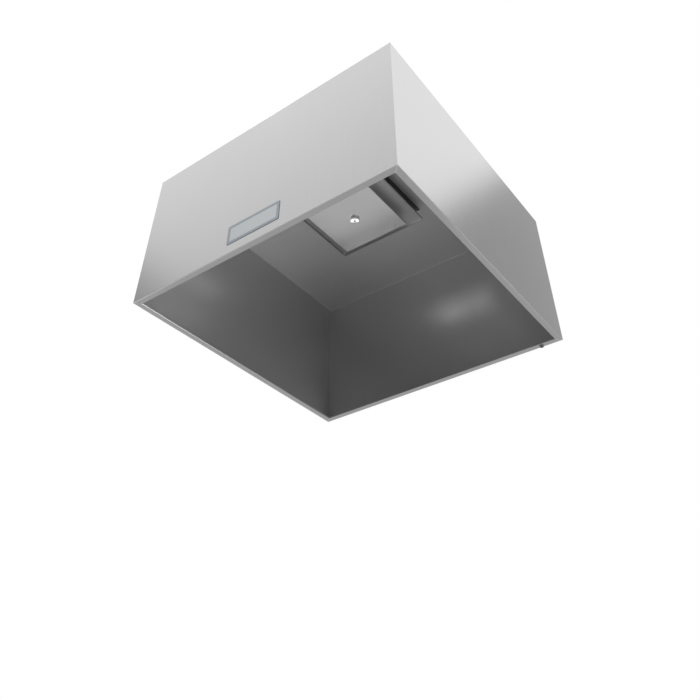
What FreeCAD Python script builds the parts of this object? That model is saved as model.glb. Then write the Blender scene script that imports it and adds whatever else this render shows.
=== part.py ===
import FreeCAD, Part
import math
import os

# Square stainless condensate hood, open below and hung from four rods.
# Millimetres. X runs to the right, Y to the back and Z up. The origin lies midway between
# the four rod holes, on the upper faces of the plates that the rods' nuts press on.

# Shell of folded sheet
HOOD_WIDTH = 1220.0            # outside, left to right
HOOD_DEPTH = 1220.0            # outside, front to back
HOOD_HEIGHT = 658.0            # rim to top
SHEET = 1.2                    # walls and top sheet
FOLD_RADIUS = 1.0              # inside every fold
CORNER_ROUND = 2.0             # ground welds of the four upright corners
GUTTER_WIDTH = 25.0            # wall's outer face to the lip's inner face
GUTTER_LIP = 12.0              # lip's edge above the rim
TOP_FLANGE = 25.0              # fold that laps over the top sheet
TOP_SHEET_CLEARANCE = 0.2      # top sheet's edge to the start of the wall's fold

# Hanger rails on the top sheet, and the plates under the rods' nuts
RAIL_HEIGHT = 40.0
RAIL_CROWN = 44.0              # outside width of the raised part
RAIL_FOOT = 22.0               # foot beyond the raised part, each side
RAIL_SHEET = 2.0
RAIL_INSET = 190.0             # end wall's outer face to the rail's middle
RAIL_END_GAP = 15.0            # top fold's edge to the rail's end
RAIL_STUD_END = 70.0           # rail's end to its first stud
RAIL_STUDS_A_SIDE = 4
ROD_PLATE_SHEET = 5.0
ROD_PLATE_LENGTH = 60.0
ROD_PLATE_MARGIN = 2.0         # plate's side to the rail's side
ROD_HOLE = 14.3                # clears a half-inch rod
ROD_INSET = 50.0               # rail's end to the rod hole

# Exhaust collar
COLLAR_OPENING = 431.8         # clear inside, square
COLLAR_HEIGHT = 100.0          # between the outer faces of its two flanges
COLLAR_SHEET = 1.5
COLLAR_FLANGE = 30.0           # inner face of the wall to the flange's edge
COLLAR_GASKET = 3.0
COLLAR_STUD_SPACING = 130.0    # three studs on each side

# Strap across the collar that carries the baffles
CROSSBAR_WIDTH = 44.0
CROSSBAR_SHEET = 3.0
CROSSBAR_RISE = 40.0           # top sheet to the strap's underside
CROSSBAR_TAB = 36.0            # height of the turned-up ends
CROSSBAR_BOLT_SPACING = 20.0

# Baffles
BAFFLE_SHEET = 1.5
UPPER_BAFFLE_SIDE = 444.5
UPPER_BAFFLE_DROP = 63.5       # hood's top to the edge of the turned-down lip
UPPER_BAFFLE_LIP = 12.0
LOWER_BAFFLE_SIDE = 333.0
LOWER_BAFFLE_LIP = 10.0        # turned up
BAFFLE_GAP = 38.1              # upper lip's edge to the lower baffle's underside

# Adjuster in the middle of the lower baffle
STUD_DIAMETER = 12.0
STUD_PROUD = 1.0               # end of the stud below the knob
STUD_TAIL = 8.0                # end of the stud above its highest nut
KNOB_DIAMETER = 42.0
KNOB_HEIGHT = 13.0
KNOB_CROWN = 2.0               # bulge of the knob's face within that height
KNOB_GRIPS = 12
KNOB_GRIP_RADIUS = 5.0
KNOB_GRIP_DEPTH = 1.2
KNOB_WASHER = 1.5
KNOB_WASHER_DIAMETER = 32.0
BUSH_SLEEVE = 18.0
BUSH_FLANGE = 30.0
BUSH_FLANGE_SHEET = 2.0
BAFFLE_LOWERING = 7.0          # travel of the lower baffle below this place
RUNNING_CLEARANCE = 0.1        # radial, what slides or turns on a round piece

# Guide pins that keep the lower baffle square
GUIDE_SPACING_X = 234.0
GUIDE_SPACING_Y = 286.0
GUIDE_PIN_DIAMETER = 8.0
GUIDE_HEAD_DIAMETER = 12.0
GUIDE_HEAD_HEIGHT = 2.5
GUIDE_SHOULDER = 2.0           # thickness of the shoulder above the lower baffle
GUIDE_END = 4.0                # pin left above its bush at the lowest place
GUIDE_BUSH_SLEEVE = 12.0
GUIDE_BUSH_FLANGE = 18.0
GUIDE_BUSH_FLANGE_SHEET = 2.0
GUIDE_BUSH_BELOW = 4.0         # sleeve under the upper baffle's sheet

# Bare plate on the front, and the drain of the gutter
BADGE_WIDTH = 245.0
BADGE_HEIGHT = 86.0
BADGE_RISE = 43.0              # rim to the plate's lower edge
BADGE_SHEET = 1.0
BADGE_CORNER = 4.0
BADGE_PAD = 0.8                # adhesive behind the plate
BADGE_PAD_MARGIN = 5.0
DRAIN_INSET = 90.0             # right wall's outer face to the drain's middle
DRAIN_OUTSIDE = 18.0
DRAIN_NECK = 14.5              # spigot through the gutter's floor
DRAIN_BORE = 11.44             # core of a quarter-inch pipe thread
DRAIN_LENGTH = 6.0             # below the rim

# Threaded fasteners: thread, width across flats, nut height, washer outside and thickness
M6 = {"thread": 6.0, "flats": 10.0, "nut": 5.0, "washer": 12.0, "washer_sheet": 1.6}
M8 = {"thread": 8.0, "flats": 13.0, "nut": 6.5, "washer": 16.0, "washer_sheet": 1.6}
M12 = {"thread": STUD_DIAMETER, "flats": 19.0, "nut": 10.0, "washer": 24.0, "washer_sheet": 2.5}
THREAD_CLEARANCE = 0.05        # radial, nut or washer on its thread
HOLE_CLEARANCE = 0.5           # radial, bolt through a sheet
FIT_CLEARANCE = 0.05           # radial, fixed round piece in its hole
THREAD_END = 2.0               # thread past its nut
HEX_CHAMFER = 0.8

# Levels
DECK = -ROD_PLATE_SHEET - RAIL_HEIGHT          # top sheet's upper face
HOOD_TOP = DECK + SHEET
RIM = HOOD_TOP - HOOD_HEIGHT
COLLAR_FOOT = DECK + COLLAR_GASKET
COLLAR_TOP = COLLAR_FOOT + COLLAR_HEIGHT
CROSSBAR_UNDER = DECK + CROSSBAR_RISE
CROSSBAR_OVER = CROSSBAR_UNDER + CROSSBAR_SHEET
UPPER_EDGE = HOOD_TOP - UPPER_BAFFLE_DROP
UPPER_OVER = UPPER_EDGE + UPPER_BAFFLE_LIP
UPPER_UNDER = UPPER_OVER - BAFFLE_SHEET
LOWER_UNDER = UPPER_EDGE - BAFFLE_GAP
LOWER_OVER = LOWER_UNDER + BAFFLE_SHEET
KNOB_OVER = LOWER_UNDER - KNOB_WASHER
KNOB_UNDER = KNOB_OVER - KNOB_HEIGHT

# Places that several pieces share
RAIL_LENGTH = HOOD_DEPTH - 2 * (TOP_FLANGE + RAIL_END_GAP)
RAIL_X = HOOD_WIDTH / 2 - RAIL_INSET
ROD_Y = RAIL_LENGTH / 2 - ROD_INSET
RAIL_STUD_X = (RAIL_CROWN + RAIL_FOOT + FOLD_RADIUS) / 2
COLLAR_STUD_REACH = (COLLAR_OPENING + COLLAR_SHEET + FOLD_RADIUS + COLLAR_FLANGE) / 2
CROSSBAR_BOLT_Z = (CROSSBAR_OVER + FOLD_RADIUS + CROSSBAR_UNDER + CROSSBAR_TAB) / 2
DRAIN_X = HOOD_WIDTH / 2 - DRAIN_INSET
DRAIN_Y = (HOOD_DEPTH - GUTTER_WIDTH) / 2

UP = FreeCAD.Vector(0, 0, 1)
ORIGIN = FreeCAD.Vector(0, 0, 0)


def moved(shape, x=0.0, y=0.0, z=0.0):
    """Copy of the shape, shifted."""
    copy = shape.copy()
    copy.translate(FreeCAD.Vector(x, y, z))
    return copy


def turned(shape, degrees, axis=UP):
    """Copy of the shape, turned about an axis through the origin."""
    copy = shape.copy()
    copy.rotate(ORIGIN, axis, degrees)
    return copy


def disc(diameter, height):
    """Upright cylinder that stands on the XY plane."""
    return Part.makeCylinder(diameter / 2, height)


def ring(outside, inside, height):
    """Upright round tube that stands on the XY plane."""
    return disc(outside, height).cut(disc(inside, height))


def slab(width, depth, height):
    """Block that stands on the XY plane, centred on the Z axis."""
    return Part.makeBox(width, depth, height, FreeCAD.Vector(-width / 2, -depth / 2, 0))


def upright_edges(shape):
    """Straight edges of the shape that run along Z."""
    found = []
    for edge in shape.Edges:
        along = edge.lastVertex().Point - edge.firstVertex().Point
        if abs(along.z) > 0.99 * edge.Length:
            found.append(edge)
    return found


def rounded_slab(width, depth, height, radius):
    """Block with its upright edges rounded."""
    block = slab(width, depth, height)
    return block.makeFillet(radius, upright_edges(block))


def prism(corners, bottom, height):
    """Upright prism over a plan of straight sides."""
    points = [FreeCAD.Vector(x, y, bottom) for x, y in corners]
    plan = Part.Face(Part.makePolygon(points + points[:1]))
    return plan.extrude(UP * height)


def sheet_side(route, offset, sheet):
    """One skin of a folded sheet: the edges of its middle line, moved sideways by the offset."""
    middle = FOLD_RADIUS + sheet / 2
    turn_left = FreeCAD.Rotation(FreeCAD.Vector(1, 0, 0), 90)
    edges = []
    ahead = (route[1] - route[0]).normalize()
    start = route[0] + turn_left.multVec(ahead) * offset
    first = start
    for corner, after in zip(route[1:], route[2:]):
        leaving = (after - corner).normalize()
        centre = corner - ahead * middle + leaving * middle
        turns_left = ahead.cross(leaving).x
        radius = middle - offset * turns_left
        fold_start = centre - leaving * radius
        fold_middle = centre + (ahead - leaving).normalize() * radius
        fold_end = centre + ahead * radius
        edges.append(Part.LineSegment(start, fold_start).toShape())
        edges.append(Part.Arc(fold_start, fold_middle, fold_end).toShape())
        start = fold_end
        ahead = leaving
    last = route[-1] + turn_left.multVec(ahead) * offset
    edges.append(Part.LineSegment(start, last).toShape())
    return edges, first, last


def folded_sheet(points, sheet, length):
    """Sheet with square folds: its section's middle line in YZ, drawn out along X about the origin."""
    route = [FreeCAD.Vector(-length / 2, y, z) for y, z in points]
    left, left_first, left_last = sheet_side(route, sheet / 2, sheet)
    right, right_first, right_last = sheet_side(route, -sheet / 2, sheet)
    ends = [Part.LineSegment(left_first, right_first).toShape(),
            Part.LineSegment(left_last, right_last).toShape()]
    outline = Part.Wire(Part.sortEdges(left + right + ends)[0])
    return Part.Face(outline).extrude(FreeCAD.Vector(length, 0, 0))


def hexagon(flats, height):
    """Upright hexagon with both ends chamfered, standing on the XY plane."""
    corner = flats / math.sqrt(3)
    corners = []
    for step in range(6):
        angle = math.radians(60 * step)
        corners.append((corner * math.cos(angle), corner * math.sin(angle)))
    turning = disc(2 * corner, height)
    rims = [edge for edge in turning.Edges if isinstance(edge.Curve, Part.Circle)]
    return prism(corners, 0, height).common(turning.makeChamfer(HEX_CHAMFER, rims))


def nut(size):
    """Hexagon nut that stands on the XY plane."""
    bore = size["thread"] + 2 * THREAD_CLEARANCE
    return hexagon(size["flats"], size["nut"]).cut(disc(bore, size["nut"]))


def washer(size):
    """Flat washer that stands on the XY plane."""
    return ring(size["washer"], size["thread"] + 2 * THREAD_CLEARANCE, size["washer_sheet"])


def clearance_hole(size, height):
    """Tool for the hole that a bolt of this size goes through."""
    return disc(size["thread"] + 2 * HOLE_CLEARANCE, height)


def tray(side, lip, holes):
    """Square sheet with a lip folded up all round; its underside lies on the XY plane."""
    outer = slab(side, side, lip)
    inner_side = side - 2 * BAFFLE_SHEET
    inner = moved(slab(inner_side, inner_side, lip), z=BAFFLE_SHEET)
    rounded = []
    for block, radius in ((outer, FOLD_RADIUS + BAFFLE_SHEET), (inner, FOLD_RADIUS)):
        floor = block.BoundBox.ZMin
        floor_edges = [edge for edge in block.Edges if edge.BoundBox.ZMax < floor + FOLD_RADIUS / 2]
        rounded.append(block.makeFillet(radius, floor_edges + upright_edges(block)))
    return rounded[0].cut(rounded[1]).cut(Part.makeCompound(holes))


# Shell

def shell_wall(span, reach):
    """Folded wall on the -Y side, with its gutter below and its flange above."""
    half = SHEET / 2
    outer = -reach
    lip = outer + GUTTER_WIDTH - half
    blank = folded_sheet([
        (outer + TOP_FLANGE, HOOD_TOP - half),
        (outer + half, HOOD_TOP - half),
        (outer + half, RIM + half),
        (lip, RIM + half),
        (lip, RIM + GUTTER_LIP)], SHEET, span)
    deep = TOP_FLANGE + GUTTER_WIDTH
    mitre = prism([
        (-span / 2, outer),
        (span / 2, outer),
        (span / 2 - deep, outer + deep),
        (-span / 2 + deep, outer + deep)], RIM, HOOD_HEIGHT)
    return blank.common(mitre)


def shell_walls():
    """The four walls, mitred where they meet and rounded on the upright corners."""
    corners = moved(rounded_slab(HOOD_WIDTH, HOOD_DEPTH, HOOD_HEIGHT, CORNER_ROUND), z=RIM)
    across = shell_wall(HOOD_WIDTH, HOOD_DEPTH / 2)
    along = shell_wall(HOOD_DEPTH, HOOD_WIDTH / 2)
    drain_hole = moved(disc(DRAIN_NECK + 2 * FIT_CLEARANCE, SHEET), DRAIN_X, DRAIN_Y, RIM)
    return {
        "front_panel": across.common(corners),
        "rear_panel": turned(across, 180).common(corners).cut(drain_hole),
        "left_panel": turned(along, -90).common(corners),
        "right_panel": turned(along, 90).common(corners)}


def top_panel():
    """Flat top sheet under the walls' flanges, cut out for the exhaust."""
    edge = 2 * (SHEET + FOLD_RADIUS + TOP_SHEET_CLEARANCE)
    sheet = slab(HOOD_WIDTH - edge, HOOD_DEPTH - edge, SHEET)
    return moved(sheet.cut(slab(COLLAR_OPENING, COLLAR_OPENING, SHEET)), z=DECK - SHEET)


# Hanger rails

def rail_stud_places():
    """Places of one rail's studs about the rail's middle: two rows along Y."""
    row = RAIL_LENGTH - 2 * RAIL_STUD_END
    places = []
    for side in (-1, 1):
        for step in range(RAIL_STUDS_A_SIDE):
            y = row * (step / (RAIL_STUDS_A_SIDE - 1) - 0.5)
            places.append((side * RAIL_STUD_X, y))
    return places


def hanger_rail():
    """Hat section along Y, with its rod holes and stud holes, about the hood's middle."""
    half = RAIL_SHEET / 2
    wall = RAIL_CROWN / 2 - half
    foot = RAIL_CROWN / 2 + RAIL_FOOT
    crown = DECK + RAIL_HEIGHT
    rail = turned(folded_sheet([
        (-foot, DECK + half),
        (-wall, DECK + half),
        (-wall, crown - half),
        (wall, crown - half),
        (wall, DECK + half),
        (foot, DECK + half)], RAIL_SHEET, RAIL_LENGTH), 90)
    holes = []
    for x, y in rail_stud_places():
        holes.append(moved(clearance_hole(M8, RAIL_SHEET), x, y, DECK))
    for side in (-1, 1):
        holes.append(moved(disc(ROD_HOLE, RAIL_SHEET), 0, side * ROD_Y, crown - RAIL_SHEET))
    return rail.cut(Part.makeCompound(holes))


def rod_plate():
    """Plate under a rod's nut; its upper face lies in the XY plane of the origin."""
    plate = slab(RAIL_CROWN - 2 * ROD_PLATE_MARGIN, ROD_PLATE_LENGTH, ROD_PLATE_SHEET)
    return moved(plate.cut(disc(ROD_HOLE, ROD_PLATE_SHEET)), z=-ROD_PLATE_SHEET)


def stud_set(size, places, clamped):
    """Weld studs on the top sheet, with the washers and nuts that clamp a flange this thick."""
    washer_seat = DECK + clamped
    nut_seat = washer_seat + size["washer_sheet"]
    length = clamped + size["washer_sheet"] + size["nut"] + THREAD_END
    studs = [moved(disc(size["thread"], length), x, y, DECK) for x, y in places]
    washers = [moved(washer(size), x, y, washer_seat) for x, y in places]
    nuts = [moved(nut(size), x, y, nut_seat) for x, y in places]
    return [Part.makeCompound(studs), Part.makeCompound(washers), Part.makeCompound(nuts)]


def hangers():
    """Both rails, their fasteners and the four rod plates."""
    rail = hanger_rail()
    pieces = {}
    places = []
    for side, side_name in ((-1, "left"), (1, "right")):
        pieces[side_name + "_hanger_rail"] = moved(rail, side * RAIL_X)
        places += [(side * RAIL_X + x, y) for x, y in rail_stud_places()]
        for end, end_name in ((-1, "front"), (1, "rear")):
            name = "rod_plate_" + end_name + "_" + side_name
            pieces[name] = moved(rod_plate(), side * RAIL_X, end * ROD_Y)
    names = ("rail_studs", "rail_washers", "rail_nuts")
    pieces.update(zip(names, stud_set(M8, places, RAIL_SHEET)))
    return pieces


# Exhaust collar

def collar_stud_places():
    """Three studs on each side of the collar's lower flange."""
    places = []
    for step in (-1, 0, 1):
        along = step * COLLAR_STUD_SPACING
        for side in (-1, 1):
            places.append((along, side * COLLAR_STUD_REACH))
            places.append((side * COLLAR_STUD_REACH, along))
    return places


def collar_wall():
    """Side of the collar at -Y, with a flange turned out at the foot and another at the top."""
    half = COLLAR_SHEET / 2
    inner = -COLLAR_OPENING / 2
    flange = inner - COLLAR_FLANGE
    span = COLLAR_OPENING + 2 * COLLAR_FLANGE
    blank = folded_sheet([
        (flange, COLLAR_FOOT + half),
        (inner - half, COLLAR_FOOT + half),
        (inner - half, COLLAR_TOP - half),
        (flange, COLLAR_TOP - half)], COLLAR_SHEET, span)
    mitre = prism([
        (inner, inner),
        (-inner, inner),
        (-flange, flange),
        (flange, flange)], COLLAR_FOOT, COLLAR_HEIGHT)
    return blank.common(mitre)


def collar():
    """The four mitred sides, the gasket under them and the fasteners."""
    places = collar_stud_places()
    stud_holes = []
    for x, y in places:
        stud_holes.append(moved(clearance_hole(M6, COLLAR_GASKET + COLLAR_SHEET), x, y, DECK))
    bolt_holes = [moved(hole, z=CROSSBAR_BOLT_Z) for hole in crossbar_bolt_tools()]
    holes = Part.makeCompound(stud_holes + bolt_holes)
    pieces = {}
    for name, angle in (("front", 0), ("right", 90), ("rear", 180), ("left", -90)):
        pieces["collar_" + name] = turned(collar_wall(), angle).cut(holes)
    outside = COLLAR_OPENING + 2 * COLLAR_FLANGE
    gasket = slab(outside, outside, COLLAR_GASKET).cut(
        slab(COLLAR_OPENING, COLLAR_OPENING, COLLAR_GASKET))
    pieces["collar_gasket"] = moved(gasket, z=DECK).cut(holes)
    names = ("collar_studs", "collar_washers", "collar_nuts")
    pieces.update(zip(names, stud_set(M6, places, COLLAR_GASKET + COLLAR_SHEET)))
    return pieces


# Strap that carries the baffles

def along_wall(shape, end):
    """Turn an upright piece on the Z axis to lie along Y: +Z points out of the front or rear end."""
    return turned(shape, -90 * end, FreeCAD.Vector(1, 0, 0))


def crossbar_bolt_tools():
    """Holes for the strap's bolts, through the tabs and the collar's front and rear walls."""
    depth = CROSSBAR_SHEET + COLLAR_SHEET
    tools = []
    for end in (-1, 1):
        for side in (-1, 1):
            tool = along_wall(clearance_hole(M6, depth), end)
            y = end * (COLLAR_OPENING / 2 - CROSSBAR_SHEET)
            tools.append(moved(tool, side * CROSSBAR_BOLT_SPACING / 2, y))
    return tools


def crossbar():
    """Strap from the collar's front wall to its rear wall, with both ends turned up."""
    half = CROSSBAR_SHEET / 2
    tab = COLLAR_OPENING / 2 - half
    tip = CROSSBAR_UNDER + CROSSBAR_TAB
    strap = folded_sheet([
        (-tab, tip),
        (-tab, CROSSBAR_UNDER + half),
        (tab, CROSSBAR_UNDER + half),
        (tab, tip)], CROSSBAR_SHEET, CROSSBAR_WIDTH)
    holes = [moved(tool, z=CROSSBAR_BOLT_Z) for tool in crossbar_bolt_tools()]
    holes.append(moved(clearance_hole(M12, CROSSBAR_SHEET), z=CROSSBAR_UNDER))
    return strap.cut(Part.makeCompound(holes))


def crossbar_fasteners():
    """Bolts with their heads inside the collar, and nuts outside it."""
    grip = CROSSBAR_SHEET + COLLAR_SHEET
    head = moved(hexagon(M6["flats"], M6["nut"]), z=-M6["nut"])
    bolt = head.fuse(disc(M6["thread"], grip + M6["nut"] + THREAD_END))
    bolts = []
    nuts = []
    for end in (-1, 1):
        head_face = end * (COLLAR_OPENING / 2 - CROSSBAR_SHEET)
        nut_face = end * (COLLAR_OPENING / 2 + COLLAR_SHEET)
        for side in (-1, 1):
            x = side * CROSSBAR_BOLT_SPACING / 2
            bolts.append(moved(along_wall(bolt, end), x, head_face, CROSSBAR_BOLT_Z))
            nuts.append(moved(along_wall(nut(M6), end), x, nut_face, CROSSBAR_BOLT_Z))
    return {"crossbar_bolts": Part.makeCompound(bolts), "crossbar_nuts": Part.makeCompound(nuts)}


# Baffles and adjuster

def guide_places():
    """The four guide pins in plan."""
    places = []
    for side in (-1, 1):
        for end in (-1, 1):
            places.append((side * GUIDE_SPACING_X / 2, end * GUIDE_SPACING_Y / 2))
    return places


def stud_and_nuts():
    """Threaded stud down the middle, clamped at the strap and at the upper baffle."""
    thick = M12["washer_sheet"]
    high = M12["nut"]
    washer_seats = []
    nut_seats = []
    for under, over in ((CROSSBAR_UNDER, CROSSBAR_OVER), (UPPER_UNDER, UPPER_OVER)):
        washer_seats += [under - thick, over]
        nut_seats += [under - thick - high, over + thick]
    top = CROSSBAR_OVER + thick + high + STUD_TAIL
    bottom = KNOB_UNDER - STUD_PROUD
    stud = disc(STUD_DIAMETER, top - bottom)
    rims = [edge for edge in stud.Edges if isinstance(edge.Curve, Part.Circle)]
    return {
        "baffle_stud": moved(stud.makeChamfer(HEX_CHAMFER, rims), z=bottom),
        "stud_washers": Part.makeCompound([moved(washer(M12), z=seat) for seat in washer_seats]),
        "stud_nuts": Part.makeCompound([moved(nut(M12), z=seat) for seat in nut_seats])}


def upper_baffle():
    """Square baffle with its lip turned down, on the stud."""
    holes = [clearance_hole(M12, BAFFLE_SHEET)]
    for x, y in guide_places():
        holes.append(moved(disc(GUIDE_BUSH_SLEEVE + 2 * FIT_CLEARANCE, BAFFLE_SHEET), x, y))
    flat = tray(UPPER_BAFFLE_SIDE, UPPER_BAFFLE_LIP, holes)
    return moved(turned(flat, 180, FreeCAD.Vector(1, 0, 0)), z=UPPER_OVER)


def guide_bushes():
    """Flanged bushes in the upper baffle that the guide pins slide in."""
    bore = GUIDE_PIN_DIAMETER + 2 * RUNNING_CLEARANCE
    sleeve_length = GUIDE_BUSH_BELOW + BAFFLE_SHEET
    sleeve = moved(disc(GUIDE_BUSH_SLEEVE, sleeve_length), z=-sleeve_length)
    body = sleeve.fuse(disc(GUIDE_BUSH_FLANGE, GUIDE_BUSH_FLANGE_SHEET))
    bore_tool = disc(bore, sleeve_length + GUIDE_BUSH_FLANGE_SHEET)
    bush = body.cut(moved(bore_tool, z=-sleeve_length)).removeSplitter()
    return Part.makeCompound([moved(bush, x, y, UPPER_OVER) for x, y in guide_places()])


def lower_baffle():
    """Square drip tray that the knob carries."""
    holes = [disc(BUSH_SLEEVE + 2 * FIT_CLEARANCE, BAFFLE_SHEET)]
    for x, y in guide_places():
        holes.append(moved(disc(GUIDE_PIN_DIAMETER + 2 * FIT_CLEARANCE, BAFFLE_SHEET), x, y))
    return moved(tray(LOWER_BAFFLE_SIDE, LOWER_BAFFLE_LIP, holes), z=LOWER_UNDER)


def baffle_bush():
    """Flanged bush in the lower baffle, sliding on the stud."""
    body = disc(BUSH_SLEEVE, BAFFLE_SHEET).fuse(
        moved(disc(BUSH_FLANGE, BUSH_FLANGE_SHEET), z=BAFFLE_SHEET))
    bore = STUD_DIAMETER + 2 * RUNNING_CLEARANCE
    return moved(body.cut(disc(bore, BAFFLE_SHEET + BUSH_FLANGE_SHEET)).removeSplitter(), z=LOWER_UNDER)


def guide_pins():
    """Pins riveted into the lower baffle: head below, shoulder above, and the guide itself."""
    top = UPPER_OVER + GUIDE_BUSH_FLANGE_SHEET + BAFFLE_LOWERING + GUIDE_END
    head = moved(disc(GUIDE_HEAD_DIAMETER, GUIDE_HEAD_HEIGHT), z=LOWER_UNDER - GUIDE_HEAD_HEIGHT)
    low_rim = [edge for edge in head.Edges if edge.BoundBox.ZMax < LOWER_UNDER - GUIDE_HEAD_HEIGHT / 2]
    head = head.makeFillet(0.8 * GUIDE_HEAD_HEIGHT, low_rim)
    shank = moved(disc(GUIDE_PIN_DIAMETER, top - LOWER_UNDER), z=LOWER_UNDER)
    shoulder = moved(disc(GUIDE_HEAD_DIAMETER, GUIDE_SHOULDER), z=LOWER_OVER)
    pin = head.fuse([shank, shoulder]).removeSplitter()
    return Part.makeCompound([moved(pin, x, y) for x, y in guide_places()])


def knob_washer():
    """Slip washer between the knob and the lower baffle."""
    bore = STUD_DIAMETER + 2 * HOLE_CLEARANCE
    return moved(ring(KNOB_WASHER_DIAMETER, bore, KNOB_WASHER), z=KNOB_OVER)


def adjuster_knob():
    """Round hand nut with finger grips round its side and a crowned face below."""
    radius = KNOB_DIAMETER / 2
    side_low = KNOB_UNDER + KNOB_CROWN
    axis_high = FreeCAD.Vector(0, 0, KNOB_OVER)
    side_top = FreeCAD.Vector(radius, 0, KNOB_OVER)
    side_foot = FreeCAD.Vector(radius, 0, side_low)
    crown = FreeCAD.Vector(0, 0, KNOB_UNDER)
    sphere = (radius ** 2 + KNOB_CROWN ** 2) / (2 * KNOB_CROWN)
    halfway = radius / 2
    bulge = KNOB_UNDER + sphere - math.sqrt(sphere ** 2 - halfway ** 2)
    outline = Part.Wire([
        Part.LineSegment(axis_high, side_top).toShape(),
        Part.LineSegment(side_top, side_foot).toShape(),
        Part.Arc(side_foot, FreeCAD.Vector(halfway, 0, bulge), crown).toShape(),
        Part.LineSegment(crown, axis_high).toShape()])
    body = Part.Face(outline).revolve(ORIGIN, UP, 360)
    reach = radius + KNOB_GRIP_RADIUS - KNOB_GRIP_DEPTH
    cuts = [disc(STUD_DIAMETER + 2 * RUNNING_CLEARANCE, KNOB_HEIGHT)]
    for step in range(KNOB_GRIPS):
        angle = 2 * math.pi * step / KNOB_GRIPS
        cuts.append(moved(disc(2 * KNOB_GRIP_RADIUS, KNOB_HEIGHT),
                          reach * math.cos(angle), reach * math.sin(angle)))
    return body.cut(moved(Part.makeCompound(cuts), z=KNOB_UNDER))


# Front plate and drain

def badge():
    """Bare plate on the front wall, and the adhesive pad behind it."""
    wall = -HOOD_DEPTH / 2
    middle = RIM + BADGE_RISE + BADGE_HEIGHT / 2
    plate = rounded_slab(BADGE_WIDTH, BADGE_HEIGHT, BADGE_SHEET, BADGE_CORNER)
    pad = slab(BADGE_WIDTH - 2 * BADGE_PAD_MARGIN, BADGE_HEIGHT - 2 * BADGE_PAD_MARGIN, BADGE_PAD)
    return {
        "badge_plate": moved(along_wall(plate, -1), 0, wall - BADGE_PAD, middle),
        "badge_adhesive": moved(along_wall(pad, -1), 0, wall, middle)}


def drain_socket():
    """Threaded socket under the rear gutter, with a spigot through the gutter's floor."""
    body = moved(disc(DRAIN_OUTSIDE, DRAIN_LENGTH), z=-DRAIN_LENGTH).fuse(disc(DRAIN_NECK, SHEET))
    bore = moved(disc(DRAIN_BORE, DRAIN_LENGTH + SHEET), z=-DRAIN_LENGTH)
    return moved(body.cut(bore).removeSplitter(), DRAIN_X, DRAIN_Y, RIM)


pieces = {"top_panel": top_panel()}
pieces.update(shell_walls())
pieces.update(hangers())
pieces.update(collar())
pieces["baffle_crossbar"] = crossbar()
pieces.update(crossbar_fasteners())
pieces.update(stud_and_nuts())
pieces["upper_baffle"] = upper_baffle()
pieces["guide_bushes"] = guide_bushes()
pieces["lower_baffle"] = lower_baffle()
pieces["baffle_bush"] = baffle_bush()
pieces["guide_pins"] = guide_pins()
pieces["knob_washer"] = knob_washer()
pieces["adjuster_knob"] = adjuster_knob()
pieces.update(badge())
pieces["drain_socket"] = drain_socket()

os.makedirs("parts", exist_ok=True)
for name, shape in pieces.items():
    shape.exportStep(os.path.join("parts", name + ".step"))
    print(name, len(shape.Solids), "solids", round(shape.Volume / 1000, 1), "cm3")
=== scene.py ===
import math

import bmesh
import bpy
from mathutils import Matrix, Vector


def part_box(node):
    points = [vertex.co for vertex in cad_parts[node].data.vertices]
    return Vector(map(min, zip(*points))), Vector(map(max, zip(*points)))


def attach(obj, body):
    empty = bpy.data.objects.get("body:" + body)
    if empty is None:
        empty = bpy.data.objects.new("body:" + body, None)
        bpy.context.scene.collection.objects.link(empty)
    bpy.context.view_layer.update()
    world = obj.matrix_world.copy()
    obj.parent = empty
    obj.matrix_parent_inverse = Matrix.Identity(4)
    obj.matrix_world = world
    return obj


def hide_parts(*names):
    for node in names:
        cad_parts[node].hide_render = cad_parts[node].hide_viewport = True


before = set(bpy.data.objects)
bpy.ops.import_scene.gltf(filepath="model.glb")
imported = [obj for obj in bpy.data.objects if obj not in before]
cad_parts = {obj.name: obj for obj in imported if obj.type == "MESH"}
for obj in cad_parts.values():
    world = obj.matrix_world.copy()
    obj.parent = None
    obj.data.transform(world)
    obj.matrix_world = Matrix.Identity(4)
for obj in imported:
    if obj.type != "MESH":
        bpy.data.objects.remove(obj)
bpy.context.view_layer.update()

# Looks of a square stainless condensate hood: finishes for the solid pieces, and finer pieces
# for the adjuster, studs, plate, drain and welds. Metres; X right, Y back, Z up.

bl_info = {
    "name": "Condensate hood",
    "version": (1, 0, 0),
    "blender": (4, 5, 0),
    "location": "View3D > Sidebar > Hood",
    "description": "Finishes a square stainless condensate hood and sets its studio",
    "category": "Object",
}

MM = 0.001


def linear(code):
    """Linear colour of an sRGB hex code."""
    shares = [int(code[start:start + 2], 16) / 255 for start in (1, 3, 5)]
    return tuple(share / 12.92 if share <= 0.04045 else ((share + 0.055) / 1.055) ** 2.4
                 for share in shares)


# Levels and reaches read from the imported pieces
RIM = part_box("front_panel")[0].z
HOOD_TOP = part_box("front_panel")[1].z
HALF_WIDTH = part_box("right_panel")[1].x
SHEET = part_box("top_panel")[1].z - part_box("top_panel")[0].z


def length_property(name, description, millimetres):
    """A size in metres that the sidebar shows as a length."""
    return bpy.props.FloatProperty(
        name=name, description=description, default=millimetres * MM,
        min=0.0, precision=5, subtype="DISTANCE", unit="LENGTH")


def colour_property(name, description, code):
    """A colour that the sidebar shows as a swatch."""
    return bpy.props.FloatVectorProperty(
        name=name, description=description, default=linear(code),
        size=3, min=0.0, max=1.0, subtype="COLOR")


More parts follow.
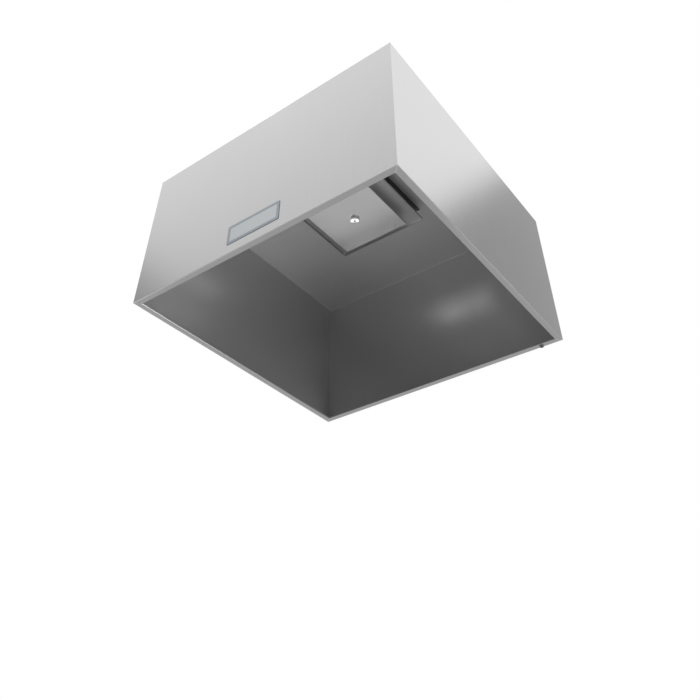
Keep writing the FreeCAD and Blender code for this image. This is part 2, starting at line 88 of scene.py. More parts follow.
class HoodColours(bpy.types.PropertyGroup):
    """Colours of the hood's materials."""

    polished_sheet: colour_property("Polished sheet", "Outer, brushed side of the hood's sheet", "#d8d8d8")
    mill_sheet: colour_property("Mill sheet", "Inner, unpolished side of the hood's sheet", "#bdbdbd")
    upper_baffle: colour_property("Upper baffle", "Dull sheet of the upper baffle", "#999999")
    lower_baffle: colour_property("Lower baffle", "Bright sheet of the lower baffle", "#d4d4d4")
    collar: colour_property("Collar", "Mill sheet of the exhaust collar", "#c3c3c3")
    galvanised: colour_property("Galvanised steel", "Zinc coat of the rails and the strap", "#b4b8ba")
    fastener: colour_property("Fasteners", "Stainless studs, nuts, washers and pins", "#cfcecb")
    knob: colour_property("Knob", "Polished hand knob", "#efefef")
    nylon: colour_property("Nylon", "Bushes and slip washer", "#e7e2d4")
    seal: colour_property("Seal", "Foam seal under the collar", "#1f2021")
    plate_pad: colour_property("Plate pad", "Foam tape behind the front plate", "#a4a6a8")
    drain: colour_property("Drain", "Pickled steel of the drain", "#8e8e8e")
    plate_border: colour_property("Plate border", "Anodised border of the front plate", "#abb4bb")
    plate_field: colour_property("Plate field", "Bare middle of the front plate", "#d0d4d6")
    floor: colour_property("Floor", "Pale studio floor", "#d9d9d9")


class HoodSizes(bpy.types.PropertyGroup):
    """Sizes of the pieces that are modelled here."""

    knob_radius: length_property("Knob radius", "Knob's side, between its grips", 21.0)
    knob_chamfer: length_property("Knob chamfer", "Chamfer of the knob's upper edge", 1.0)
    knob_crown: length_property("Knob crown", "Bulge of the knob's face", 1.2)
    knob_bore: length_property("Knob bore", "Radius of the hole for the stud", 6.1)
    grip_depth: length_property("Grip depth", "Depth of the finger grips", 1.2)
    grips: bpy.props.IntProperty(name="Grips", description="Finger grips round the knob", default=12, min=3)
    stud_pitch: length_property("Stud pitch", "Thread pitch of the adjuster's stud", 1.75)
    rail_stud_pitch: length_property("Rail stud pitch", "Thread pitch of the rails' studs", 1.25)
    collar_stud_pitch: length_property("Collar stud pitch", "Thread pitch of the collar's studs", 1.0)
    plate_border: length_property("Plate border", "Width of the front plate's raised border", 16.5)
    plate_recess: length_property("Plate recess", "Depth of the front plate's bare middle", 0.35)
    plate_corner: length_property("Plate corner", "Corner radius of the front plate", 4.0)
    weld_spacing: length_property("Weld spacing", "Distance between the top flange's spot welds", 80.0)
    weld_radius: length_property("Weld radius", "Radius of a spot weld's mark", 3.5)
    seal_weld: length_property("Seal weld", "Radius of the fillet between the walls and the top sheet", 3.0)
    floor_drop: length_property("Floor drop", "Distance from the rim down to the floor", 2038.0)


def add_node(tree, kind, sockets=None, **settings):
    """Add a node with its settings; a socket takes a value or another node's output."""
    node = tree.nodes.new(kind)
    for name, value in settings.items():
        setattr(node, name, value)
    for socket, value in (sockets or {}).items():
        if isinstance(value, bpy.types.NodeSocket):
            tree.links.new(value, node.inputs[socket])
        else:
            node.inputs[socket].default_value = value
    return node


def start_material(name, metallic, roughness):
    """A new material: its tree, its shader and the object's own coordinates."""
    material = bpy.data.materials.new(name)
    material.use_nodes = True
    tree = material.node_tree
    shader = tree.nodes["Principled BSDF"]
    shader.inputs["Metallic"].default_value = metallic
    shader.inputs["Roughness"].default_value = roughness
    place = add_node(tree, "ShaderNodeTexCoord").outputs["Object"]
    return material, tree, shader, place


# Brushed finish: size and depth of the grain, slow waves in the sheet, and spread of the gloss
GRAIN_WIDTH = 5 * MM
GRAIN_LENGTH = 260 * MM
GRAIN_DEPTH = 0.02 * MM
UPRIGHT_GRAIN = (1 / GRAIN_WIDTH, 1 / GRAIN_WIDTH, 1 / GRAIN_LENGTH)
LEVEL_GRAIN = (1 / GRAIN_LENGTH, 1 / GRAIN_WIDTH, 1 / GRAIN_WIDTH)
WAVE_LENGTH = 420 * MM
GLOSS_SPREAD = 0.015
# The part of the noise's range in which most streaks lie
STREAK_SPAN = {"From Min": 0.3, "From Max": 0.7}

# The hood's sheet: its waves, its satin side, and the core and the haze of its mill side
SHEET_WAVES = 0.5 * MM
SATIN_ROUGHNESS = 0.2
WALL_ROUGHNESS = 0.3
TOP_ROUGHNESS = 0.5
HAZE_ROUGHNESS = 0.58
HAZE_SHARE = 0.25

FASTENER_ROUGHNESS = 0.3

# Size of the other finishes' patterns, and the spread of the handled steel's gloss
SPANGLE_SIZE = 12 * MM
HANDLING_SIZE = 4 * MM
HANDLING_SPREAD = 0.06
NYLON_GRAIN = 0.6 * MM
FOAM_CELL = 1.2 * MM


def vary_colour(tree, shader, colour, pattern, low, high, span=None):
    """Scale the shader's colour by a pattern, between two shares of it."""
    shade = add_node(tree, "ShaderNodeMapRange", {
        "Value": pattern, "To Min": low, "To Max": high, **(span or {})})
    tint = add_node(tree, "ShaderNodeVectorMath", {
        0: colour, "Scale": shade.outputs["Result"]}, operation="SCALE")
    tree.links.new(tint.outputs["Vector"], shader.inputs["Base Color"])


def vary_roughness(tree, shader, pattern, low, high, span=None):
    """Let the shader's roughness follow a pattern, between two values."""
    gloss = add_node(tree, "ShaderNodeMapRange", {
        "Value": pattern, "To Min": low, "To Max": high, **(span or {})})
    tree.links.new(gloss.outputs["Result"], shader.inputs["Roughness"])


def add_relief(tree, shader, pattern, strength, depth):
    """Raise the surface by a pattern."""
    relief = add_node(tree, "ShaderNodeBump", {"Height": pattern, "Strength": strength, "Distance": depth})
    tree.links.new(relief.outputs["Normal"], shader.inputs["Normal"])


def brushed_steel(name, colour, roughness, grain, waviness=0.0):
    """Stainless sheet with a brushed grain: soft streaks along the sheet and a broad, satin gloss.

    The true grain is about 0.2 mm wide. It is drawn wider so that it shows in the render.
    """
    material, tree, shader, place = start_material(name, metallic=1.0, roughness=roughness)
    stretched = add_node(tree, "ShaderNodeMapping", {"Vector": place, "Scale": grain})
    streaks = add_node(tree, "ShaderNodeTexNoise", {
        "Vector": stretched.outputs["Vector"], "Scale": 1.0, "Detail": 4.0,
        "Roughness": 0.65}).outputs["Fac"]
    clouds = add_node(tree, "ShaderNodeTexNoise", {
        "Vector": place, "Scale": 1 / WAVE_LENGTH, "Detail": 1.0}).outputs["Fac"]
    vary_colour(tree, shader, colour, streaks, low=0.982, high=1.014, span=STREAK_SPAN)
    vary_roughness(tree, shader, streaks, roughness - GLOSS_SPREAD, roughness + GLOSS_SPREAD, STREAK_SPAN)
    warp = add_node(tree, "ShaderNodeBump", {"Height": clouds, "Strength": 1.0, "Distance": waviness})
    relief = add_node(tree, "ShaderNodeBump", {
        "Height": streaks, "Strength": 0.4, "Distance": GRAIN_DEPTH, "Normal": warp.outputs["Normal"]})
    tree.links.new(relief.outputs["Normal"], shader.inputs["Normal"])
    return material


def hood_sheet(name, colours, inner_roughness):
    """Stainless sheet polished on one side: satin outside, mill finish with a wide haze inside."""
    material = brushed_steel(name, colours.polished_sheet, SATIN_ROUGHNESS, UPRIGHT_GRAIN, SHEET_WAVES)
    tree = material.node_tree
    satin = tree.nodes["Principled BSDF"]
    mill_side = {
        "Base Color": (*colours.mill_sheet, 1.0), "Metallic": 1.0,
        "Normal": satin.inputs["Normal"].links[0].from_socket}
    core = add_node(tree, "ShaderNodeBsdfPrincipled", {**mill_side, "Roughness": inner_roughness})
    haze = add_node(tree, "ShaderNodeBsdfPrincipled", {**mill_side, "Roughness": HAZE_ROUGHNESS})
    mill = add_node(tree, "ShaderNodeMixShader", {
        0: HAZE_SHARE, 1: core.outputs["BSDF"], 2: haze.outputs["BSDF"]})
    place = add_node(tree, "ShaderNodeTexCoord").outputs["Object"]
    apart = add_node(tree, "ShaderNodeSeparateXYZ", {"Vector": place})
    across = add_node(tree, "ShaderNodeMath", {0: apart.outputs["X"]}, operation="ABSOLUTE")
    along = add_node(tree, "ShaderNodeMath", {0: apart.outputs["Y"]}, operation="ABSOLUTE")
    reach = add_node(tree, "ShaderNodeMath", {
        0: across.outputs["Value"], 1: along.outputs["Value"]}, operation="MAXIMUM")
    outer = add_node(tree, "ShaderNodeMath", {
        0: reach.outputs["Value"], 1: HALF_WIDTH - SHEET / 2}, operation="GREATER_THAN")
    sides = add_node(tree, "ShaderNodeMixShader", {
        0: outer.outputs["Value"], 1: mill.outputs["Shader"], 2: satin.outputs["BSDF"]})
    tree.links.new(sides.outputs["Shader"], tree.nodes["Material Output"].inputs["Surface"])
    return material


def galvanised_steel(colours):
    """Hot-dip galvanised sheet: grey zinc with crystal spangles, each of its own gloss."""
    material, tree, shader, place = start_material("galvanised_steel", metallic=1.0, roughness=0.42)
    spangles = add_node(tree, "ShaderNodeTexVoronoi", {"Vector": place, "Scale": 1 / SPANGLE_SIZE})
    crystal = add_node(tree, "ShaderNodeSeparateColor", {"Color": spangles.outputs["Color"]})
    vary_colour(tree, shader, colours.galvanised, crystal.outputs["Red"], low=0.86, high=1.05)
    vary_roughness(tree, shader, crystal.outputs["Green"], low=0.34, high=0.5)
    return material


def turned_steel(name, colour, roughness):
    """Machined stainless: bright, with faint patches of handling a few millimetres across."""
    material, tree, shader, place = start_material(name, metallic=1.0, roughness=roughness)
    patches = add_node(tree, "ShaderNodeTexNoise", {
        "Vector": place, "Scale": 1 / HANDLING_SIZE, "Detail": 3.0}).outputs["Fac"]
    vary_colour(tree, shader, colour, patches, low=0.9, high=1.05)
    vary_roughness(tree, shader, patches, roughness - HANDLING_SPREAD, roughness + HANDLING_SPREAD)
    return material


def moulded_nylon(colours):
    """Natural nylon: creamy and slightly waxy, with a fine moulded grain."""
    material, tree, shader, place = start_material("natural_nylon", metallic=0.0, roughness=0.45)
    shader.inputs["Subsurface Weight"].default_value = 0.15
    shader.inputs["Subsurface Scale"].default_value = 2 * MM
    grain = add_node(tree, "ShaderNodeTexNoise", {
        "Vector": place, "Scale": 1 / NYLON_GRAIN, "Detail": 2.0}).outputs["Fac"]
    vary_colour(tree, shader, colours.nylon, grain, low=0.95, high=1.03)
    add_relief(tree, shader, grain, strength=0.3, depth=0.05 * MM)
    return material


def foam_rubber(name, colour):
    """Closed-cell foam: matt, with open cells along its cut edges."""
    material, tree, shader, place = start_material(name, metallic=0.0, roughness=0.9)
    cells = add_node(tree, "ShaderNodeTexVoronoi", {
        "Vector": place, "Scale": 1 / FOAM_CELL}).outputs["Distance"]
    vary_colour(tree, shader, colour, cells, low=1.2, high=0.6)
    add_relief(tree, shader, cells, strength=0.6, depth=0.3 * MM)
    return material


def material_named(name, make, *values):
    """The material of that name, made when it is first needed."""
    found = bpy.data.materials.get(name)
    if found is None:
        found = make(*values)
    return found


def dress(material, *nodes):
    """Give solid pieces a material."""
    for name in nodes:
        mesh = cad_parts[name].data
        mesh.materials.clear()
        mesh.materials.append(material)


def wall_sheet(colours):
    """The sheet of the walls, whose inner side is glossier than the top sheet's."""
    name = "satin_stainless_sheet"
    return material_named(name, hood_sheet, name, colours, WALL_ROUGHNESS)


def fastener_steel(colours):
    """The bright stainless steel of the fasteners."""
    name = "bright_stainless"
    return material_named(name, turned_steel, name, colours.fastener, FASTENER_ROUGHNESS)


SHARP_ANGLE = math.radians(25)
MERGE_DISTANCE = 0.001 * MM
# Thread form, as shares of the pitch: its depth, and where the crest starts and ends
THREAD_DEPTH = 0.6
CREST_START = 0.42
CREST_END = 0.58
# The helix starts this many turns below the rod, whose ends are then cut off level
THREAD_LEAD = 1.5
THREAD_MERGE_DISTANCE = 0.01 * MM


def add_piece(name, form, materials, body, slot, *nodes):
    """Make an object of a finished bmesh that rides on a body and stands for solid pieces."""
    bmesh.ops.remove_doubles(form, verts=form.verts[:], dist=MERGE_DISTANCE)
    bmesh.ops.recalc_face_normals(form, faces=form.faces[:])
    mesh = bpy.data.meshes.new(name)
    form.to_mesh(mesh)
    form.free()
    mesh.shade_smooth()
    mesh.set_sharp_from_angle(angle=SHARP_ANGLE)
    for material in materials:
        mesh.materials.append(material)
    piece = bpy.data.objects.new(name, mesh)
    bpy.context.scene.collection.objects.link(piece)
    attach(piece, body)
    if nodes:
        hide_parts(*nodes)


def spin_outline(form, points, steps):
    """Turn a closed or open outline of radius and height about the Z axis."""
    corners = [form.verts.new((radius, 0, height)) for radius, height in points]
    edges = [form.edges.new(pair) for pair in zip(corners, corners[1:])]
    bmesh.ops.spin(form, geom=corners + edges, cent=(0, 0, 0), axis=(0, 0, 1), dvec=(0, 0, 0),
                   angle=2 * math.pi, steps=steps, use_merge=True)


def threaded_rod(radius, pitch, low, high, steps):
    """A rod along Z with a helical thread, flat ends and a lead-in chamfer at each end."""
    form = bmesh.new()
    root = radius - THREAD_DEPTH * pitch
    turns = math.ceil((high - low) / pitch) + 2
    ridge = [(root, 0.0), (radius, CREST_START * pitch), (radius, CREST_END * pitch), (root, pitch)]
    start = low - THREAD_LEAD * pitch
    corners = [form.verts.new((reach, 0, start + height)) for reach, height in ridge]
    edges = [form.edges.new(pair) for pair in zip(corners, corners[1:])]
    bmesh.ops.spin(form, geom=corners + edges, cent=(0, 0, 0), axis=(0, 0, 1),
                   dvec=(0, 0, pitch / steps), angle=2 * math.pi * turns, steps=steps * turns)
    bmesh.ops.remove_doubles(form, verts=form.verts[:], dist=THREAD_MERGE_DISTANCE)
    for level, outward in ((low, -1), (high, 1)):
        cut = bmesh.ops.bisect_plane(
            form, geom=form.verts[:] + form.edges[:] + form.faces[:], dist=MERGE_DISTANCE,
            plane_co=(0, 0, level), plane_no=(0, 0, outward), clear_outer=True)
        loop = [part for part in cut["geom_cut"] if isinstance(part, bmesh.types.BMEdge)]
        bmesh.ops.contextual_create(form, geom=loop)
    for corner in form.verts:
        reach = math.hypot(corner.co.x, corner.co.y)
        limit = root + min(corner.co.z - low, high - corner.co.z)
        if reach > limit > 0:
            corner.co.x *= limit / reach
            corner.co.y *= limit / reach
    return form


def copies(form, places):
    """One bmesh that holds the form at every place; the form itself is used up."""
    single = bpy.data.meshes.new("single")
    form.to_mesh(single)
    form.free()
    group = bmesh.new()
    for place in places:
        before = len(group.verts)
        group.from_mesh(single)
        group.verts.ensure_lookup_table()
        bmesh.ops.translate(group, verts=group.verts[before:], vec=place)
    bpy.data.meshes.remove(single)
    return group


class HOOD_OT_shell(bpy.types.Operator):
    """Finish the walls and the top sheet"""

    bl_idname = "hood.shell"
    bl_label = "Shell"

    def execute(self, context):
        colours = context.scene.hood_colours
        dress(wall_sheet(colours), "front_panel", "rear_panel", "left_panel", "right_panel")
        dress(hood_sheet("satin_stainless_top", colours, TOP_ROUGHNESS), "top_panel")
        return {"FINISHED"}


class HOOD_OT_welds(bpy.types.Operator):
    """Add the top flanges' spot welds, the mitred corners' ground welds and the ceiling's seal welds"""

    bl_idname = "hood.welds"
    bl_label = "Welds"

    # How far the welds stand out from the sheet, and their finish
    proud = 0.2 * MM
    roughness = 0.34
    # Spot welds: distance from the wall's outer face, length left free at the corners, and form
    flange_inset = 14 * MM
    corner_margin = 60 * MM
    spot_segments = 20
    spot_top_share = 0.7
    # Ground welds along the mitres of the rim and the top flanges
    seam_length = 34 * MM
    seam_width = 3 * MM
    seam_inset = 1.5 * MM
    fillet_steps = 4

    def execute(self, context):
        form = bmesh.new()
        self.add_spot_welds(form, context.scene.hood_sizes)
        self.add_ground_welds(form)
        steel = turned_steel("ground_weld", context.scene.hood_colours.polished_sheet, self.roughness)
        add_piece("shell_welds", form, [steel], "hood", "hood_sheet")
        self.add_seal_welds(context.scene)
        return {"FINISHED"}

    def add_spot_welds(self, form, sizes):
        """A row of flat cones on each of the four top flanges."""
        flange_middle = HALF_WIDTH - self.flange_inset
        level = HOOD_TOP + self.proud / 2
        count = int((HALF_WIDTH - self.corner_margin) / sizes.weld_spacing)
        for side in range(4):
            turn = Matrix.Rotation(math.radians(90 * side), 4, "Z")
            for step in range(-count, count + 1):
                spot = turn @ Vector((step * sizes.weld_spacing, flange_middle, level))
                bmesh.ops.create_cone(
                    form, cap_ends=True, segments=self.spot_segments, radius1=sizes.weld_radius,
                    radius2=self.spot_top_share * sizes.weld_radius, depth=self.proud,
                    matrix=Matrix.Translation(spot))

    def add_ground_welds(self, form):
        """A thin bar along the mitre at each corner, under the rim and on the top flanges."""
        reach = math.sqrt(2) * HALF_WIDTH - self.seam_inset - self.seam_length / 2
        size = Matrix.Diagonal((self.seam_length, self.seam_width, self.proud, 1))
        for side in range(4):
            turn = Matrix.Rotation(math.radians(90 * side + 45), 4, "Z")
            for level in (RIM - self.proud / 2, HOOD_TOP + self.proud / 2):
                place = turn @ Matrix.Translation((reach, 0, level))
                bmesh.ops.create_cube(form, size=1, matrix=place @ size)

    def add_seal_welds(self, scene):
        """A hollow fillet all round the seam between the walls' inner faces and the top sheet."""
        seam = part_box("top_panel")[0].z
        inner = HALF_WIDTH - SHEET
        radius = scene.hood_sizes.seal_weld
        outline = [(inner, seam)]
        for step in range(self.fillet_steps + 1):
            angle = math.radians(90 * step / self.fillet_steps)
            outline.append((inner - radius * (1 - math.cos(angle)), seam - radius * (1 - math.sin(angle))))
        outline.append(outline[0])
        form = bmesh.new()
        # Four steps round make a square ring, whose corners lie farther out than its sides
        spin_outline(form, [(reach * math.sqrt(2), level) for reach, level in outline], 4)
        bmesh.ops.rotate(form, verts=form.verts[:], cent=(0, 0, 0),
                         matrix=Matrix.Rotation(math.radians(45), 3, "Z"))
        add_piece("seal_welds", form, [wall_sheet(scene.hood_colours)], "hood", "hood_sheet")


class HOOD_OT_hangers(bpy.types.Operator):
    """Finish the hanger rails, the rod plates and the strap"""

    bl_idname = "hood.hangers"
    bl_label = "Hanger rails"

    def execute(self, context):
        dress(galvanised_steel(context.scene.hood_colours), "left_hanger_rail", "right_hanger_rail",
              "rod_plate_front_left", "rod_plate_front_right", "rod_plate_rear_left",
              "rod_plate_rear_right", "baffle_crossbar")
        return {"FINISHED"}


class HOOD_OT_collar(bpy.types.Operator):
    """Finish the exhaust collar and its seal"""

    bl_idname = "hood.collar"
    bl_label = "Collar"

    roughness = 0.36

    def execute(self, context):
        colours = context.scene.hood_colours
        sheet = brushed_steel("mill_stainless_collar", colours.collar, self.roughness, LEVEL_GRAIN)
        dress(sheet, "collar_front", "collar_rear", "collar_left", "collar_right")
        dress(foam_rubber("foam_rubber_seal", colours.seal), "collar_gasket")
        return {"FINISHED"}


class HOOD_OT_studs(bpy.types.Operator):
    """Thread the weld studs of the rails and the collar, and finish the steel bolts, nuts and washers"""

    bl_idname = "hood.studs"
    bl_label = "Studs, nuts and washers"

    # Rails: middle of each one, distance of its two rows of studs from there, and its end studs
    rail_middle = 420 * MM
    rail_row = 33.5 * MM
    rail_end = 500 * MM
    rail_studs_a_row = 4
    rail_stud_radius = 4 * MM
    collar_stud_radius = 3 * MM
    collar_spacing = 130 * MM
    thread_steps = 16

    def execute(self, context):
        sizes = context.scene.hood_sizes
        steel = fastener_steel(context.scene.hood_colours)
        rail_places = []
        for rail in (-1, 1):
            for row in (-1, 1):
                for step in range(self.rail_studs_a_row):
                    y = self.rail_end * (2 * step / (self.rail_studs_a_row - 1) - 1)
                    rail_places.append((rail * self.rail_middle + row * self.rail_row, y, 0))
        collar_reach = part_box("collar_studs")[1].x - self.collar_stud_radius
        collar_places = []
        for step in (-1, 0, 1):
            for side in (-1, 1):
                collar_places.append((step * self.collar_spacing, side * collar_reach, 0))
                collar_places.append((side * collar_reach, step * self.collar_spacing, 0))
        for node, radius, pitch, places in (
                ("rail_studs", self.rail_stud_radius, sizes.rail_stud_pitch, rail_places),
                ("collar_studs", self.collar_stud_radius, sizes.collar_stud_pitch, collar_places)):
            low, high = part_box(node)
            rod = threaded_rod(radius, pitch, low.z, high.z, self.thread_steps)
            add_piece(node + "_threaded", copies(rod, places), [steel], "hood", "fastener_steel", node)
        dress(steel, "rail_washers", "rail_nuts", "collar_washers", "collar_nuts",
              "crossbar_bolts", "crossbar_nuts", "stud_nuts", "stud_washers")
        return {"FINISHED"}


class HOOD_OT_baffles(bpy.types.Operator):
    """Finish both baffles, the guide pins and the bushes"""

    bl_idname = "hood.baffles"
    bl_label = "Baffles"

    upper_roughness = 0.5
    lower_roughness = 0.22

    def execute(self, context):
        colours = context.scene.hood_colours
        dull = brushed_steel(
            "dull_stainless_baffle", colours.upper_baffle, self.upper_roughness, LEVEL_GRAIN)
        bright = brushed_steel(
            "bright_stainless_baffle", colours.lower_baffle, self.lower_roughness, LEVEL_GRAIN)
        dress(dull, "upper_baffle")
        dress(bright, "lower_baffle")
        dress(fastener_steel(colours), "guide_pins")
        dress(moulded_nylon(colours), "guide_bushes", "baffle_bush", "knob_washer")
        return {"FINISHED"}


class HOOD_OT_adjuster(bpy.types.Operator):
    """Model the threaded stud and the hand knob under the lower baffle"""

    bl_idname = "hood.adjuster"
    bl_label = "Adjuster"

    thread_steps = 24
    steps_a_grip = 10
    # Where the crowned face's outline has its points, and where the recess round the stud ends,
    # as shares of the knob's radius
    face_shares = (0.97, 0.9, 0.8, 0.7, 0.6, 0.5, 0.44)
    recess_share = 0.41
    recess_depth = 1.1 * MM
    bore_chamfer = 0.5 * MM
    # Rounded edge between the knob's side and its face
    edge_height = 0.5 * MM
    edge_share = 0.992
    edge_rise = 0.05 * MM
    # The grips fade out towards this share of the radius
    grip_share = 0.86
    knob_roughness = 0.12

    def execute(self, context):
        sizes = context.scene.hood_sizes
        colours = context.scene.hood_colours
        low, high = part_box("baffle_stud")
        rod = threaded_rod((high.x - low.x) / 2, sizes.stud_pitch, low.z, high.z, self.thread_steps)
        steel = fastener_steel(colours)
        add_piece("baffle_stud_threaded", rod, [steel], "hood", "fastener_steel", "baffle_stud")
        self.add_knob(sizes, colours)
        return {"FINISHED"}

    def add_knob(self, sizes, colours):
        """A turned knob with a crowned face, a recess round the stud and finger grips."""
        low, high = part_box("adjuster_knob")
        radius = sizes.knob_radius
        crown = sizes.knob_crown
        sphere = (radius ** 2 + crown ** 2) / (2 * crown)
        face = []
        for share in self.face_shares:
            reach = share * radius
            face.append((reach, low.z + sphere - math.sqrt(sphere ** 2 - reach ** 2)))
        recess = low.z + self.recess_depth
        outline = [
            (sizes.knob_bore, high.z),
            (radius - sizes.knob_chamfer, high.z),
            (radius, high.z - sizes.knob_chamfer),
            (radius, low.z + crown + self.edge_height),
            (self.edge_share * radius, low.z + crown + self.edge_rise),
            *face,
            (self.recess_share * radius, recess),
            (sizes.knob_bore + self.bore_chamfer, recess),
            (sizes.knob_bore, recess + self.bore_chamfer),
            (sizes.knob_bore, high.z)]
        form = bmesh.new()
        spin_outline(form, outline, self.steps_a_grip * sizes.grips)
        inner = self.grip_share * radius
        for corner in form.verts:
            reach = math.hypot(corner.co.x, corner.co.y)
            if reach <= inner:
                continue
            turn = math.atan2(corner.co.y, corner.co.x)
            hollow = max(0.0, math.cos(sizes.grips * turn)) ** 2
            share = 1 - sizes.grip_depth * hollow * (reach - inner) / (radius - inner) / reach
            corner.co.x *= share
            corner.co.y *= share
        steel = turned_steel("polished_stainless_knob", colours.knob, self.knob_roughness)
        add_piece("adjuster_knob_turned", form, [steel], "knob", "knob_polished", "adjuster_knob")


class HOOD_OT_plate(bpy.types.Operator):
    """Model the bare plate on the front"""

    bl_idname = "hood.plate"
    bl_label = "Front plate"

    recess_slope = 0.6 * MM
    corner_segments = 6
    border_roughness = 0.36
    field_roughness = 0.3

    def execute(self, context):
        sizes = context.scene.hood_sizes
        colours = context.scene.hood_colours
        low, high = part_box("badge_plate")
        form = bmesh.new()
        middle = (low + high) / 2
        place = Matrix.Translation(middle) @ Matrix.Diagonal((*(high - low), 1))
        bmesh.ops.create_cube(form, size=1, matrix=place)
        front = min(form.faces, key=lambda face: face.calc_center_median().y)
        front.material_index = 1
        corners = [edge for edge in form.edges
                   if abs(edge.verts[0].co.y - edge.verts[1].co.y) > 0.5 * (high.y - low.y)]
        rings = bmesh.ops.inset_region(form, faces=[front], thickness=sizes.plate_border)["faces"]
        rings += bmesh.ops.inset_region(form, faces=[front], thickness=self.recess_slope,
                                        depth=-sizes.plate_recess)["faces"]
        for ring in rings:
            ring.material_index = 0
        bmesh.ops.bevel(form, geom=corners, offset=sizes.plate_corner, offset_type="OFFSET",
                        segments=self.corner_segments, profile=0.5, affect="EDGES", material=-1)
        border = brushed_steel(
            "anodised_aluminium_border", colours.plate_border, self.border_roughness, LEVEL_GRAIN)
        field = brushed_steel(
            "brushed_aluminium_field", colours.plate_field, self.field_roughness, LEVEL_GRAIN)
        add_piece("badge_plate_bare", form, [border, field], "hood", "badge_plate", "badge_plate")
        dress(foam_rubber("acrylic_foam_tape", colours.plate_pad), "badge_adhesive")
        return {"FINISHED"}


class HOOD_OT_drain(bpy.types.Operator):
    """Model the threaded drain socket under the rear gutter"""

    bl_idname = "hood.drain"
    bl_label = "Drain"

    # Radii of the spigot, the bore and its mouth; then the thread, whose grooves are rings
    neck = 7.2 * MM
    bore = 5.72 * MM
    mouth = 6.47 * MM
    groove = 0.45 * MM
    pitch = 1.34 * MM
    flank_share = 0.4
    chamfer = 0.6 * MM
    steps = 40
    roughness = 0.55

    def execute(self, context):
        low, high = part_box("drain_socket")
        middle = (low + high) / 2
        radius = (high.x - low.x) / 2
        outline = [
            (self.mouth, low.z),
            (radius - self.chamfer, low.z),
            (radius, low.z + self.chamfer),
            (radius, RIM),
            (self.neck, RIM),
            (self.neck, high.z),
            (self.bore, high.z)]
        flank = self.flank_share * self.pitch
        level = high.z - self.pitch
        while level > low.z + self.pitch:
            outline.append((self.bore, level + flank))
            outline.append((self.bore + self.groove, level))
            outline.append((self.bore, level - flank))
            level -= self.pitch
        outline.append(outline[0])
        form = bmesh.new()
        spin_outline(form, outline, self.steps)
        bmesh.ops.translate(form, verts=form.verts[:], vec=(middle.x, middle.y, 0))
        steel = turned_steel("pickled_stainless_drain", context.scene.hood_colours.drain, self.roughness)
        add_piece("drain_socket_threaded", form, [steel], "hood", "drain_steel", "drain_socket")
        return {"FINISHED"}


